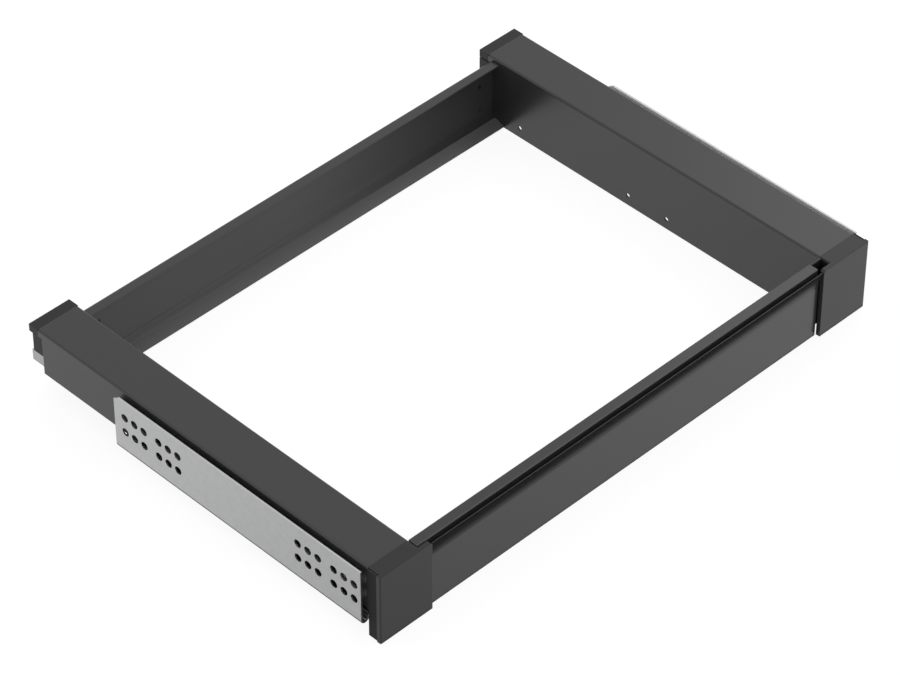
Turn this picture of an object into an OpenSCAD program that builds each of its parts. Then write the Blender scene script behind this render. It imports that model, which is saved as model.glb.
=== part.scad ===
// Pull-out bin frame for a kitchen base cabinet.
// Two folded side profiles, a front rail and a back rail hang on two telescopic ball runners.
// Millimetres. X runs across the cabinet, -Y points out of it, +Z up.
// Origin: middle of the frame's footprint, on the plane of its lowest edge.

/* [Frame] */
// Clear width between the two cabinet sides
cabinet_w = 562; // [420:1:900]
// Depth from the front of the front caps to the back of the rear caps
frame_d = 403.6; // [380:0.2:600]
// Height of the frame at its front caps
frame_h = 69.6; // [69:0.2:90]
// Room between a cabinet side and the outer wall of a side profile
side_room = 6; // [5.4:0.1:10]
// Thickness of the folded sheet of the side profiles and the back rail
sheet_t = 1.5; // [1:0.1:2]
// Inside radius of the sheet's folds
fold_r = 0.5; // [0.2:0.1:1.2]

/* [Side profiles] */
// Width of a side profile's flat top
profile_w = 42.4; // [38:0.2:60]
// Height of the tall wall towards the bins
inner_wall_h = 68.6; // [60:0.2:69]
// Height of the short wall towards the cabinet
outer_wall_h = 43.6; // [42:0.2:46]
// Height of the lip left at the rear end of the walls
tail_lip_h = 7.2; // [4:0.2:8]
// Length by which top and lip reach past the walls
tail_lip_l = 4.6; // [3:0.2:8]
// Diameter of the accessory holes in the inner wall
accessory_hole_d = 4.2; // [3:0.1:6]
// Height of the accessory holes above the inner wall's lower edge
accessory_hole_rise = 10; // [6:0.5:16]
// Distance of the rear accessory hole from the rear end of the walls
accessory_hole_inset = 34.1; // [30:0.1:60]
// Distance between the rear and the middle accessory hole
accessory_pitch = 128.2; // [64:0.1:140]
// Distance between the middle and the front accessory hole
accessory_step = 44.5; // [20:0.5:60]

/* [Front rail] */
// Thickness of the hollow rail from its face to its back
rail_t = 10.6; // [9:0.2:14]
// Wall thickness of the extruded rail
rail_wall = 1.6; // [1.2:0.1:2]
// Width of the flat ledge on top of the rail
ledge_w = 9.1; // [6:0.1:9.4]
// Depth of the slot behind the lip
slot_depth = 9; // [5:0.5:14]
// Height over which the face flares out to the lip
flare_h = 17.4; // [12:0.2:24]
// Distance by which the lip stands in front of the face
flare_out = 3.5; // [2:0.1:3.8]
// Thickness of the flared lip at its foot
lip_t = 1.2; // [1:0.1:1.6]
// Thickness of the flared lip at its tip
lip_tip_t = 0.6; // [0.4:0.1:1]
// Radius of the ledge's front edge
ledge_r = 1; // [0.3:0.1:1.4]
// Distance of the lip's tip below the top of the frame
lip_drop = 1.1; // [0.5:0.1:3]
// Length that the rail stops short of the right-hand side profile
rail_short = 12.1; // [0.5:0.1:20]

/* [Back rail] */
// Height of the back rail
back_h = 65; // [50:0.5:67]
// Width of the back rail's upper flange
back_top_w = 9.8; // [6:0.1:16]
// Width of the back rail's lower flange
back_foot_w = 15.5; // [12:0.1:24]
// Slope of the lower flange, which rises towards the web
back_foot_slope = 20; // [0:1:25]
// Inside radius of the fold between web and lower flange
back_foot_r = 6.5; // [1:0.1:8]
// Distance by which the back rail's web stands behind the ends of the inner walls
back_web_out = 0.8; // [0:0.1:1.4]

/* [Corner caps] */
// Depth of a front cap in front of the side profile
cap_d = 15.2; // [14:0.1:24]
// Thickness of the front cap's face plate
face_t = 4.1; // [3.8:0.1:6]
// Length by which the face plate overlaps the front rail
face_lap = 10.6; // [6:0.1:20]
// Distance by which the face plate stands out past the side profile
face_proud = 1.8; // [1.2:0.1:3]
// Distance by which the front cap's side stands out past the side profile
cap_proud = 1; // [0.6:0.1:1.1]
// Wall thickness of the moulded caps
cap_wall = 2; // [1.5:0.1:2.5]
// Radius of the face plate's upright edges
face_r = 1.2; // [0.5:0.1:2]
// Chamfer of the face plate's upper inner corner
face_chamfer = 2.4; // [1:0.1:4]
// Length of the plugs that slide into the side profiles
plug_l = 25; // [16:0.5:40]
// Height of the plugs
plug_h = 30; // [20:0.5:45]
// Depth of the step under the profile's wall, at the back of a front cap's side
side_step = 1.6; // [0.8:0.1:1.8]
// Distance of a front plug from the profile's outer face
front_plug_inset = 18; // [17.5:0.5:28]
// Distance of a rear plug from the profile's outer face
rear_plug_inset = 24; // [20:0.5:28]
// Distance of the first rib in a front cap from the profile's outer face
rib_inset = 13; // [8:0.5:16]
// Distance between the two ribs
rib_step = 14; // [8:0.5:18]
// Clearance of a plug in its profile
plug_gap = 0.2; // [0.1:0.05:0.4]
// Length of the tongue inside the front rail
tongue_l = 30; // [15:0.5:50]
// Height of the tongue
tongue_h = 40; // [24:0.5:44]
// Depth of the rear cap's top behind the side profile
rear_cap_d = 10.6; // [8:0.1:20]
// Depth of the rear cap's outer skin
skin_h = 25.5; // [12:0.5:30]
// Distance by which the skin stops short of the cap's rear face
skin_short = 4; // [2:0.1:8]
// Width of the ear behind the back rail
ear_w = 32; // [24:0.5:50]
// Height of the ear behind the back rail
ear_h = 50; // [40:0.5:55]
// Thickness of the ear
ear_t = 3; // [2:0.1:5]

/* [Cabinet brackets] */
// Length of the brackets
bracket_l = 278.5; // [270:0.5:300]
// Distance between a front cap and the bracket's front end when the frame is in
bracket_gap = 1.6; // [1:0.1:4]
// Thickness of the bracket's sheet
bracket_t = 1.5; // [1:0.1:2]
// Drop of the plate's upper edge below the frame's top
plate_drop = 2.7; // [1:0.1:8]
// Drop of the fold under the side profile's wall
trough_drop = 53.6; // [52:0.1:56]
// Outside radius of the fold under the side profile's wall
trough_r = 4.5; // [4:0.1:4.9]
// Diameter of the screw holes in the plate
screw_hole_d = 7.5; // [4:0.1:8]
// Distance between neighbouring screw holes of one group
hole_pitch = 11.1; // [10:0.1:13]
// Distance between the two groups at one end
group_gap = 17.2; // [14:0.1:22]
// Distance between the two rows of screw holes
row_gap = 14.9; // [11:0.1:18]
// Drop of the upper row below the plate's upper edge
row_drop = 17.2; // [12:0.1:20]
// Distance of the first hole from the front end
hole_inset = 7.2; // [6:0.1:14]
// Distance of the last column of holes from the rear end
rear_hole_inset = 12.2; // [11:0.1:20]
// Distance of the first rivet from the bracket's front end
front_rivet_inset = 34; // [30:0.5:44]
// Distance of the last rivet from the bracket's rear end
rear_rivet_inset = 30.5; // [20:0.5:40]
// Length of the cut at the plate's upper rear corner
corner_cut_l = 5; // [0.5:0.1:12]
// Height of the cut at the plate's upper rear corner
corner_cut_h = 3.3; // [0.5:0.1:12]

/* [Runners] */
// Height of a runner
runner_h = 31; // [29:0.2:34]
// Thickness of a closed runner
runner_t = 12.7; // [12.5:0.1:13.5]
// Drop of the runner's centre line below the frame's top
runner_drop = 23.9; // [23.5:0.1:25]
// Sheet thickness of the three members
member_t = 1.1; // [0.9:0.05:1.2]
// Diameter of the balls
ball_d = 3.2; // [2.8:0.05:3.3]
// Clearance round a ball
ball_gap = 0.12; // [0.05:0.01:0.2]
// Clearance between members that slide past each other
slide_gap = 0.25; // [0.15:0.05:0.3]
// Thickness of the ball cages
cage_t = 0.5; // [0.4:0.05:0.6]
// Length of the middle member
middle_l = 290; // [250:1:300]
// Length of the inner ball cage
inner_cage_l = 88; // [40:1:100]
// Length of the outer ball cage
outer_cage_l = 180; // [80:1:200]
// Distance between balls in the inner cage
inner_ball_pitch = 8; // [6:0.5:16]
// Distance between balls in the outer cage
outer_ball_pitch = 10; // [6:0.5:20]
// Distance of the inner cage from the cabinet member's front end
inner_cage_inset = 99; // [99:0.5:104]
// Distance of the outer cage from the cabinet member's front end
outer_cage_inset = 99.5; // [99:0.5:100.5]
// Length of the pressed stop lugs at the ends of the members
stop_l = 2.4; // [1:0.1:2.6]
// Width of the pressed stop lugs
stop_w = 6; // [3:0.1:10]
// Height left of the drawer member at its rear end
tail_h = 11.4; // [6:0.1:20]
// Length of the slanted cut at the drawer member's rear end
tail_cut_l = 2.4; // [1:0.1:8]

/* [Fasteners and buffers] */
// Diameter of the rivets
rivet_d = 4; // [3:0.1:5]
// Diameter of the rivet heads
rivet_head_d = 7; // [6:0.1:8.4]
// Height of the rivet heads
rivet_head_h = 1.2; // [0.8:0.1:1.6]
// Diameter of the self-tapping screws
screw_d = 3.5; // [3:0.1:4.5]
// Diameter of the screw heads
screw_head_d = 6.8; // [6:0.1:8]
// Height of the screw heads
screw_head_h = 2; // [1.5:0.1:3]
// Length of the screws under the head
screw_l = 6; // [5:0.5:6.5]
// Thickness of the rubber closing buffer
buffer_t = 3.6; // [2:0.1:6]
// Height of the rubber closing buffer
buffer_h = 14; // [8:0.5:16]

/* [Hidden] */
$fn = 48;
side_x = cabinet_w / 2 - side_room;         // outer face of a side profile
half_d = frame_d / 2;
inner_x = side_x - profile_w;               // face of the inner walls
front_y = -half_d + cap_d;                  // front end of the side profiles
lip_end_y = half_d - rear_cap_d;            // rear end of the profiles' tops
wall_end_y = lip_end_y - tail_lip_l;        // rear end of the profiles' walls
face_y = -half_d + face_t;                  // face of the front rail
rail_back_y = face_y + rail_t;
flare_r = arc_radius(flare_h, flare_out);
back_web_y = wall_end_y + back_web_out;     // rear face of the back rail
back_top_z = inner_wall_foot() + back_h;
touch = 0.01;                               // cuts reach this far past a face
groove = 1;                                 // depth of the grooves in the caps
cap_groove_w = 0.8;                         // width of the groove in a front cap's top

runner_u = sheet_t;                         // outer side of the runner, seen from the profile's face
runner_z = frame_h - runner_drop;
web_u = runner_u + runner_t;                // the bracket's upright web touches the runner here
bracket_y0 = front_y + bracket_gap;
bracket_y1 = bracket_y0 + bracket_l;
member_y0 = bracket_y0 + buffer_t;          // front ends of the cabinet and middle members
drawer_y0 = front_y + slide_gap;

race_r = ball_d / 2 + ball_gap;             // inside radius of the raceways
race_out = race_r + member_t;
half_h = runner_h / 2;
outer_cage_u = member_t + slide_gap;
middle_web_u = outer_cage_u + cage_t + slide_gap;
inner_cage_u = middle_web_u + member_t + slide_gap;
// The two ball rows of a corner: b runs in the drawer member, a in the cabinet member
ball_b = [runner_t - slide_gap - 0.1 - race_out, half_h - race_out];
cage_slot = cage_t + 2 * 1.5 * slide_gap;
middle_top = half_h - member_t - cage_slot;
ball_a_h = middle_top - race_out;
ball_rise = ball_b[1] - ball_a_h;
ball_step = sqrt(pow(2 * race_r + member_t, 2) - ball_rise * ball_rise);
ball_a = [ball_b[0] - ball_step, ball_a_h];
swing = atan2(ball_rise, ball_step);
straight_angle = 8;                         // the raceways of the middle member end before their straight
drawer_lip_angle = -25;                     // where the drawer member's raceway opens
middle_lip_angle = 320;                     // where the middle member's outer raceway opens
cabinet_lip_angle = 240;                    // where the cabinet member's raceway opens
straight_l = 0.9;

inner_ball_n = floor((inner_cage_l - ball_d - 2) / inner_ball_pitch) + 1;
outer_ball_n = floor((outer_cage_l - ball_d - 2) / outer_ball_pitch) + 1;
tail_step = 3.5;                            // height of the slanted cut at the drawer member's end
last_rivet = bracket_l - rear_rivet_inset;
rivet_places = [front_rivet_inset, (front_rivet_inset + last_rivet) / 2, last_rivet];
rivet_offset = 12;                          // the two rivet rows keep apart along the runner

anthracite = "#4b4b4b";
moulded = "#403f3e";
galvanised = "#b4b6b8";
bright = "#c9cbcd";
rubber_black = "#202020";

function inner_wall_foot() = frame_h - inner_wall_h;

// Radius of an arc that starts upright and moves out by a given distance over a height
function arc_radius(height, out) = (height * height + out * out) / (2 * out);

// An outline in the X-Z plane, drawn out from y0 to y1
module along_y(y0, y1) {
  translate([0, y1, 0]) rotate([90, 0, 0]) linear_extrude(y1 - y0) children();
}

// An outline in the Y-Z plane, drawn out from x0 to x1
module along_x(x0, x1) {
  translate([x0, 0, 0]) rotate([90, 0, 90]) linear_extrude(x1 - x0) children();
}

// A box between two corners
module block(low, high) {
  translate(low) cube(high - low);
}

// A flat rectangle between two corners
module patch(low, high) {
  translate(low) square(high - low);
}

// Everything on the left is written once and mirrored for the right
module on_side(side) {
  if (side < 0) children();
  else mirror([1, 0, 0]) children();
}

// Left-hand place: u runs inwards from the profile's outer face, z is measured from the frame's top
module from_profile() {
  translate([-side_x, 0, frame_h]) children();
}

// A piece of a bent sheet: a ring of inside radius r between two angles
module bend(centre, r, t, a0, a1) {
  reach = 2 * (r + t);
  steps = ceil((a1 - a0) / 40);
  translate(centre) intersection() {
    difference() {
      circle(r + t);
      circle(r);
    }
    polygon(concat([[0, 0]], [for (i = [0:steps])
      let (a = a0 + (a1 - a0) * i / steps) [reach * cos(a), reach * sin(a)]]));
  }
}

// Side profile: flat top, tall inner wall, short outer wall, open below

module profile_outline(wall_out, wall_in) {
  r = fold_r;
  out = fold_r + sheet_t;
  bend([out, -out], r, sheet_t, 90, 180);
  bend([profile_w - out, -out], r, sheet_t, 0, 90);
  patch([out, -sheet_t], [profile_w - out, 0]);
  patch([0, -wall_out], [sheet_t, -out]);
  patch([profile_w - sheet_t, -wall_in], [profile_w, -out]);
}

module side_profile(side) {
  hole_z = -inner_wall_h + accessory_hole_rise;
  hole_y = [for (back = [0, accessory_pitch, accessory_pitch + accessory_step])
    wall_end_y - accessory_hole_inset - back];
  color(anthracite) on_side(side) from_profile() difference() {
    union() {
      along_y(front_y, wall_end_y) profile_outline(outer_wall_h, inner_wall_h);
      along_y(wall_end_y - touch, lip_end_y) profile_outline(tail_lip_h, tail_lip_h);
    }
    for (y = hole_y)
      translate([profile_w - 2 * sheet_t, y, hole_z]) rotate([0, 90, 0])
        cylinder(d = accessory_hole_d, h = 3 * sheet_t);
    for (y = rivet_places)
      translate([-touch, bracket_y0 + y - rivet_offset, -runner_drop]) rotate([0, 90, 0])
        cylinder(d = rivet_d + 0.1, h = 2 * sheet_t);
  }
}

// Front rail: hollow extrusion with a ledge, a slot and a flared lip

module rail_body_outline() {
  foot = 0;
  slot_z = frame_h - slot_depth;
  ledge_y = rail_back_y - ledge_w;
  difference() {
    patch([face_y, foot], [rail_back_y, frame_h]);
    patch([face_y - 1, slot_z], [ledge_y, frame_h + 1]);
    patch([face_y + rail_wall, foot + rail_wall], [rail_back_y - rail_wall, slot_z - rail_wall]);
    patch([ledge_y + rail_wall, slot_z - rail_wall - touch], [rail_back_y - rail_wall, frame_h - rail_wall]);
    difference() {
      patch([ledge_y - touch, frame_h - ledge_r], [ledge_y + ledge_r, frame_h + touch]);
      translate([ledge_y + ledge_r, frame_h - ledge_r]) circle(ledge_r);
    }
  }
}

// The lip tapers: its front and its rear lie on two arcs
module rail_lip_outline() {
  foot_z = frame_h - lip_drop - flare_h;
  rear_r = arc_radius(flare_h, flare_out + lip_t - lip_tip_t);
  intersection() {
    patch([face_y - flare_out - 1, foot_z], [face_y + lip_t + 1, foot_z + flare_h]);
    difference() {
      translate([face_y + lip_t - rear_r, foot_z]) circle(rear_r);
      translate([face_y - flare_r, foot_z]) circle(flare_r);
    }
  }
}

module front_rail() {
  rail_x1 = inner_x - rail_short;
  color(anthracite) difference() {
    union() {
      along_x(-inner_x, rail_x1) rail_body_outline();
      along_x(-inner_x + face_lap + plug_gap, rail_x1) rail_lip_outline();
    }
    for (place = rail_screw_places())
      translate([place[0], rail_back_y - 2 * rail_wall, place[1]]) rotate([-90, 0, 0])
        cylinder(d = screw_d + 0.3, h = 3 * rail_wall);
  }
}

// Two screws at each end of the front rail, from behind into the cap's tongue
function rail_screw_places() = [
  for (x = [-inner_x + tongue_l / 2, inner_x - rail_short - tongue_l / 2], dz = [-1, 1])
    [x, tongue_z() + dz * tongue_h / 4]
];

function tongue_z() = (frame_h - slot_depth) / 2;

// Back rail: folded channel, open towards the bins

module back_outline() {
  r = fold_r;
  out = fold_r + sheet_t;
  foot_z = inner_wall_foot();
  foot_out = back_foot_r + sheet_t;
  foot_in = back_foot_w - foot_out;
  fold_z = foot_z + (foot_out + foot_in * sin(back_foot_slope)) / cos(back_foot_slope);
  flange_l = foot_in * cos(back_foot_slope) + (fold_z - foot_z) * sin(back_foot_slope);
  // the flange runs a little into the fold
  join = 4;
  bend([back_web_y - foot_out, fold_z], back_foot_r, sheet_t, 270 + back_foot_slope + join, 360);
  translate([back_web_y - back_foot_w, foot_z]) rotate(back_foot_slope)
    square([flange_l + foot_out * tan(join) + touch, sheet_t]);
  bend([back_web_y - out, back_top_z - out], r, sheet_t, 0, 90);
  patch([back_web_y - sheet_t, fold_z], [back_web_y, back_top_z - out]);
  patch([back_web_y - back_top_w, back_top_z - sheet_t], [back_web_y - out, back_top_z]);
}

module back_rail() {
  color(anthracite) difference() {
    along_x(-inner_x, inner_x) back_outline();
    for (place = back_screw_places())
      translate([place[0], back_web_y - 2 * sheet_t, place[1]]) rotate([-90, 0, 0])
        cylinder(d = screw_d + 0.1, h = 3 * sheet_t);
  }
}

function ear_z() = inner_wall_foot() + back_h / 2;

// Two screws at each end of the back rail, from behind through the ear into the web
function back_screw_places() = [
  for (x = [-1, 1], dz = [-1, 1])
    [x * (inner_x - ear_w / 2), ear_z() + dz * ear_h / 4]
];

// Front caps: face plate, top, side and a bulkhead with a plug for the profile and a tongue for the rail

module face_plate() {
  x0 = -side_x - face_proud;
  x1 = -inner_x + face_lap;
  difference() {
    union() {
      block([x0 + face_r, -half_d, 0], [x1, face_y, frame_h]);
      block([x0, -half_d + face_r, 0], [x0 + face_r + touch, face_y, frame_h]);
      translate([x0 + face_r, -half_d + face_r, 0]) cylinder(r = face_r, h = frame_h);
    }
    translate([x1, 0, frame_h]) rotate([0, 45, 0])
      cube([face_chamfer, frame_d * 2, face_chamfer], center = true);
  }
}

module cap_plug(y0, y1, u0) {
  u1 = profile_w - sheet_t - plug_gap;
  top = -sheet_t - plug_gap;
  bottom = top - plug_h;
  from_profile() difference() {
    block([u0, y0, bottom], [u1, y1, top]);
    block([u0 + cap_wall, y0 - touch, bottom + cap_wall], [u1 - 2 * cap_wall, y1 + touch, top - cap_wall]);
  }
}

module front_cap(side) {
  side_u = -cap_proud;
  short = side > 0 ? rail_short : 0;
  edge_r = fold_r + sheet_t;
  tongue_y0 = face_y + rail_wall + plug_gap;
  tongue_y1 = rail_back_y - rail_wall - plug_gap;
  tongue_x1 = -inner_x + short + tongue_l;
  color(moulded) on_side(side) difference() {
    union() {
      face_plate();
      block([-side_x + side_u, face_y - touch, 0], [-side_x + side_u + cap_wall, front_y, frame_h]);
      block([-side_x + side_u, face_y - touch, frame_h - cap_wall], [-inner_x, front_y, frame_h]);
      block([-inner_x - cap_wall, face_y - touch, 0], [-inner_x, front_y, frame_h]);
      block([-side_x + side_u, front_y - cap_wall, 0], [-inner_x, front_y, frame_h]);
      for (u = [rib_inset, rib_inset + rib_step])
        block([-side_x + u, face_y - touch, 0], [-side_x + u + sheet_t, front_y - touch, frame_h - touch]);
      cap_plug(front_y - touch, front_y + plug_l, front_plug_inset);
      block([-inner_x - touch, tongue_y0, tongue_z() - tongue_h / 2],
        [tongue_x1, tongue_y1, tongue_z() + tongue_h / 2]);
      // shoulder that closes the gap beside a short rail
      if (short > 0)
        block([-inner_x - touch, rail_back_y - cap_wall, 0], [-inner_x + short - plug_gap, rail_back_y, frame_h]);
    }
    // inner top edge, rounded like the profile's fold
    difference() {
      block([-inner_x - edge_r, face_y, frame_h - edge_r], [-inner_x + (short > 0 ? 0 : 1), front_y + 1, frame_h + 1]);
      translate([-inner_x - edge_r, front_y + 2, frame_h - edge_r]) rotate([90, 0, 0])
        cylinder(r = edge_r, h = cap_d);
    }
    // step under the profile's outer wall
    block([-side_x - cap_proud - 1, front_y - side_step, -1],
      [-side_x + sheet_t, front_y + 1, frame_h - outer_wall_h]);
    // shadow groove along the top's outer edge
    block([-side_x - cap_groove_w / 2, face_y - cap_groove_w, frame_h - groove],
      [-side_x + cap_groove_w / 2, front_y + touch, frame_h + 1]);
    for (place = rail_screw_places()) if (place[0] < 0)
      translate([place[0] + short, rail_back_y - rail_wall - plug_gap + touch, place[1]]) rotate([90, 0, 0])
        cylinder(d = screw_d + 0.1, h = screw_l - rail_wall);
  }
}

// Rear caps: top with a lip, inner side wall, plug, ear, and a window that the runner leaves through

module rear_cap(side) {
  skin_t = sheet_t - slide_gap;
  skin_y1 = half_d - skin_short;
  wall_u = profile_w - sheet_t;
  rear_wall_y = half_d - groove - cap_wall;
  color(moulded) on_side(side) difference() {
    union() {
      from_profile() {
        // top with a lip all round
        block([0, lip_end_y, -cap_wall], [profile_w, half_d, 0]);
        block([0, skin_y1, -tail_lip_h], [profile_w, half_d, 0]);
        block([0, lip_end_y, -tail_lip_h], [skin_t, half_d, 0]);
        block([wall_u, lip_end_y, -tail_lip_h], [profile_w, half_d, 0]);
        // outer skin, thin where the runner passes
        block([0, lip_end_y, -skin_h], [skin_t, skin_y1, -touch]);
        block([0, wall_end_y, -skin_h], [skin_t, lip_end_y + touch, -tail_lip_h]);
        // inner side wall under a groove, rear wall and the partition beside the runner
        block([wall_u, wall_end_y, -inner_wall_h], [profile_w, half_d, -tail_lip_h - groove]);
        block([wall_u - cap_wall, lip_end_y, -inner_wall_h], [profile_w - groove, half_d - groove, -touch]);
        block([rear_plug_inset, rear_wall_y, -inner_wall_h], [profile_w - touch, half_d - groove, -touch]);
        block([rear_plug_inset, lip_end_y, -inner_wall_h], [rear_plug_inset + cap_wall, half_d - groove, -touch]);
      }
      cap_plug(wall_end_y - plug_l, lip_end_y + touch, rear_plug_inset);
      // ear behind the back rail's web
      block([-inner_x - touch, back_web_y, ear_z() - ear_h / 2],
        [-inner_x + ear_w, back_web_y + ear_t, ear_z() + ear_h / 2]);
    }
    for (place = back_screw_places()) if (place[0] < 0)
      translate([place[0], back_web_y - touch, place[1]]) rotate([-90, 0, 0])
        cylinder(d = screw_d + 0.3, h = ear_t + 1);
  }
}

// Cabinet bracket: screw plate, fold under the profile's wall, shelf and upright web

module bracket_outline() {
  plate_u = -side_room;
  fold_u = plate_u + trough_r;
  fold_in = trough_r - bracket_t;
  leg_u = fold_u + trough_r;
  turn = 0.8;
  turn_out = turn + bracket_t;
  shelf_top = -trough_drop + turn_out;
  web_top = -runner_drop + cabinet_half_h() + 1;
  patch([plate_u, -trough_drop], [plate_u + bracket_t, -plate_drop]);
  bend([fold_u, -trough_drop], fold_in, bracket_t, 180, 360);
  bend([leg_u + turn, -trough_drop], turn, bracket_t, 90, 180);
  patch([leg_u + turn, shelf_top - bracket_t], [web_u - turn, shelf_top]);
  bend([web_u - turn, shelf_top + turn], turn, bracket_t, 270, 360);
  patch([web_u, shelf_top + turn], [web_u + bracket_t, web_top]);
}

// Distances of the screw-hole columns from the front end
function hole_columns() = [
  let (groups_l = 4 * hole_pitch + group_gap)
  for (start = [hole_inset, bracket_l - rear_hole_inset - groups_l], group = [0, 1], i = [0:2])
    start + group * (2 * hole_pitch + group_gap) + i * hole_pitch
];

module cabinet_bracket(side) {
  color(galvanised) on_side(side) from_profile() difference() {
    along_y(bracket_y0, bracket_y1) bracket_outline();
    for (y = hole_columns(), row = [0, 1])
      translate([-side_room - 1, bracket_y0 + y, -plate_drop - row_drop - row * row_gap]) rotate([0, 90, 0])
        cylinder(d = screw_hole_d, h = bracket_t + 2);
    for (y = rivet_places)
      translate([web_u - 1, bracket_y0 + y + rivet_offset, -runner_drop]) rotate([0, 90, 0])
        cylinder(d = rivet_d + 0.1, h = bracket_t + 2);
    // slanted upper rear corner
    translate([-side_room - 1, bracket_y1, -plate_drop]) rotate([90, 0, 90]) linear_extrude(bracket_t + 2)
      polygon([[-corner_cut_l, touch], [1, touch], [1, -corner_cut_h], [0, -corner_cut_h]]);
  }
}

// Runner members. Outlines are drawn for the upper half and mirrored to the lower half

module both_halves() {
  children();
  mirror([0, 1]) children();
}

module drawer_member_outline() {
  turn = 0.6;
  out = turn + member_t;
  both_halves() {
    patch([0, 0], [member_t, half_h - out]);
    bend([out, half_h - out], turn, member_t, 90, 180);
    patch([out, half_h - member_t], [ball_b[0], half_h]);
    bend(ball_b, race_r, member_t, drawer_lip_angle, 90);
  }
}

module middle_member_outline() {
  turn = 0.6;
  out = turn + member_t;
  both_halves() {
    patch([middle_web_u, 0], [middle_web_u + member_t, middle_top - out]);
    bend([middle_web_u + out, middle_top - out], turn, member_t, 90, 180);
    patch([middle_web_u + out, middle_top - member_t], [ball_a[0], middle_top]);
    bend(ball_a, race_r, member_t, swing + straight_angle, 90);
    bend(ball_b, race_r, member_t, 180 + swing + straight_angle, middle_lip_angle);
    // a short straight joins the two raceways
    translate((ball_a + ball_b) / 2) rotate(swing) square([member_t, straight_l], center = true);
  }
}

function cabinet_half_h() = ball_a[1] - race_r;

module cabinet_member_outline() {
  turn = 0.6;
  out = turn + member_t;
  flange = cabinet_half_h();
  both_halves() {
    bend(ball_a, race_r, member_t, cabinet_lip_angle, 270);
    patch([ball_a[0], flange - member_t], [runner_t - out, flange]);
    bend([runner_t - out, flange - out], turn, member_t, 0, 90);
    patch([runner_t - member_t, 0], [runner_t, flange - out]);
  }
}

module from_runner() {
  translate([-side_x + runner_u, 0, runner_z]) children();
}

// A flush rivet hole: a cone that leaves no head inside the runner
module flush_hole(u, direction, d) {
  translate([u, 0, 0]) rotate([0, direction * 90, 0]) {
    translate([0, 0, -2]) cylinder(d = rivet_d + d, h = 6);
    cylinder(d1 = rivet_d + d, d2 = rivet_d + 2 * member_t + d, h = member_t + touch);
  }
}

// A stop lug pressed out of a web: the cages run up against it at full reach
module stop_lug(u0, u1, y0) {
  block([u0, y0, -stop_w / 2], [u1, y0 + stop_l, stop_w / 2]);
}

module drawer_member(side) {
  color(galvanised) on_side(side) from_runner() difference() {
    union() {
      along_y(drawer_y0, half_d) drawer_member_outline();
      stop_lug(member_t - touch, outer_cage_u + cage_t, half_d - skin_short - stop_l);
    }
    for (y = rivet_places)
      translate([0, bracket_y0 + y - rivet_offset, 0]) flush_hole(0, 1, 0.1);
    // rear end: only the lower tail is left, with a slanted corner
    translate([-1, half_d, 0]) rotate([90, 0, 90]) linear_extrude(runner_t + 2)
      polygon([[-skin_short, half_h + 1], [-skin_short, -half_h + tail_h + tail_step],
        [-tail_cut_l, -half_h + tail_h + tail_step], [touch, -half_h + tail_h], [touch, half_h + 1]]);
  }
}

module middle_member(side) {
  color(bright) on_side(side) from_runner() {
    along_y(member_y0, member_y0 + middle_l) middle_member_outline();
    stop_lug(outer_cage_u, middle_web_u + touch, member_y0);
    stop_lug(middle_web_u + member_t - touch, inner_cage_u + cage_t, member_y0 + middle_l - stop_l);
  }
}

module cabinet_member(side) {
  lug_w = cage_t + 2 * slide_gap;
  color(galvanised) on_side(side) from_runner() difference() {
    union() {
      along_y(member_y0, bracket_y1) cabinet_member_outline();
      // the raceways are closed at the front by a lug on each flange
      for (up = [0, 1]) mirror([0, 0, up])
        block([ball_a[0], member_y0, cabinet_half_h() - member_t / 2],
          [ball_a[0] + lug_w, member_y0 + stop_l, ball_a[1] + cage_t / 2]);
    }
    for (y = rivet_places)
      translate([0, bracket_y0 + y + rivet_offset, 0]) flush_hole(runner_t, -1, 0.1);
  }
}

// Ball rows: places along the runner, measured from the front end of the cabinet member
function inner_ball_places() = [
  for (i = [0:inner_ball_n - 1])
    member_y0 + inner_cage_inset + inner_cage_l / 2 + (i - (inner_ball_n - 1) / 2) * inner_ball_pitch
];
function outer_ball_places() = [
  for (i = [0:outer_ball_n - 1])
    member_y0 + outer_cage_inset + outer_cage_l / 2 + (i - (outer_ball_n - 1) / 2) * outer_ball_pitch
];

module inner_cage(side) {
  reach = ball_a[0] + 0.9;
  y0 = member_y0 + inner_cage_inset;
  color(bright) on_side(side) from_runner() difference() {
    along_y(y0, y0 + inner_cage_l) both_halves() {
      patch([inner_cage_u, 0], [inner_cage_u + cage_t, ball_a[1] + cage_t / 2]);
      patch([inner_cage_u, ball_a[1] - cage_t / 2], [reach, ball_a[1] + cage_t / 2]);
    }
    for (y = inner_ball_places(), up = [-1, 1])
      translate([ball_a[0], y, up * ball_a[1] - 1]) cylinder(d = ball_d + 0.3, h = 2);
  }
}

module outer_cage(side) {
  reach = ball_b[0] + 0.7;
  y0 = member_y0 + outer_cage_inset;
  flange = middle_top + cage_slot / 2;
  // the flange cuts the balls above their centre, so its notches are narrower than a ball
  lift = flange - cage_t / 2 - ball_b[1];
  notch_r = sqrt(pow(ball_d / 2, 2) - lift * lift) + 0.15;
  color(bright) on_side(side) from_runner() difference() {
    along_y(y0, y0 + outer_cage_l) both_halves() {
      patch([outer_cage_u, 0], [outer_cage_u + cage_t, flange + cage_t / 2]);
      patch([outer_cage_u, flange - cage_t / 2], [reach, flange + cage_t / 2]);
    }
    for (y = outer_ball_places(), up = [-1, 1])
      translate([ball_b[0], y, up * flange - 1]) cylinder(r = notch_r, h = 2);
  }
}

module inner_balls(side) {
  color(bright) on_side(side) from_runner()
    for (y = inner_ball_places(), up = [-1, 1])
      translate([ball_a[0], y, up * ball_a[1]]) sphere(d = ball_d);
}

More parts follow.
